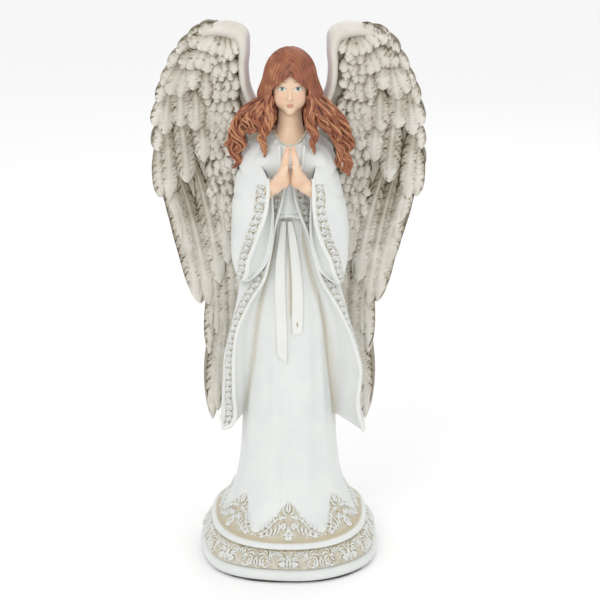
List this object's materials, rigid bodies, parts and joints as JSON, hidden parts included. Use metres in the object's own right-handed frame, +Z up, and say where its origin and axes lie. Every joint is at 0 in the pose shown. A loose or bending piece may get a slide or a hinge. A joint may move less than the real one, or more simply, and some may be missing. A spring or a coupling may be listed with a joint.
{
  "type": "angel figurine",
  "caption": "Standing praying angel figurine with tall feathered wings, long gown, open over-robe with wide sleeves and an ornamented flared hem that it stands on.",
  "frame": {"origin": "centre of the footprint, on the surface the figurine stands on", "axes": "+Z up; the figure faces -Y; +X is the figure's own left-hand side, and the wings spread along X"},
  "size_m": [0.149, 0.112, 0.301],
  "materials": {
    "antiqued_relief": "cast resin, cream paint with a beige antique wash rubbed off the raised relief",
    "white_gown": "cast resin, satin off-white paint",
    "robe_white": "cast resin, satin off-white paint with a faint warm wash in the folds",
    "sash_cream": "cast resin, satin cream paint",
    "skin": "cast resin, satin skin-tone paint",
    "auburn_hair": "cast resin, auburn paint with dry-brushed copper highlights",
    "antiqued_wing": "cast resin, cream-white paint with a grey-brown antique wash in the recesses",
    "felt": "thin self-adhesive felt"
  },
  "bodies": {
    "root": {"base_hem": "antiqued_relief", "bodice": "white_gown", "felt_pad": "felt", "hair_cap": "auburn_hair", "hair_lock_left": "auburn_hair", "hair_lock_right": "auburn_hair", "hand_left": "skin", "hand_right": "skin", "head": "skin", "robe": "robe_white", "sash": "sash_cream", "sash_tail_left": "sash_cream", "sash_tail_right": "sash_cream", "skirt": "white_gown", "sleeve_left": "robe_white", "sleeve_right": "robe_white", "wing_left": "antiqued_wing", "wing_right": "antiqued_wing"}
  },
  "joints": []
}
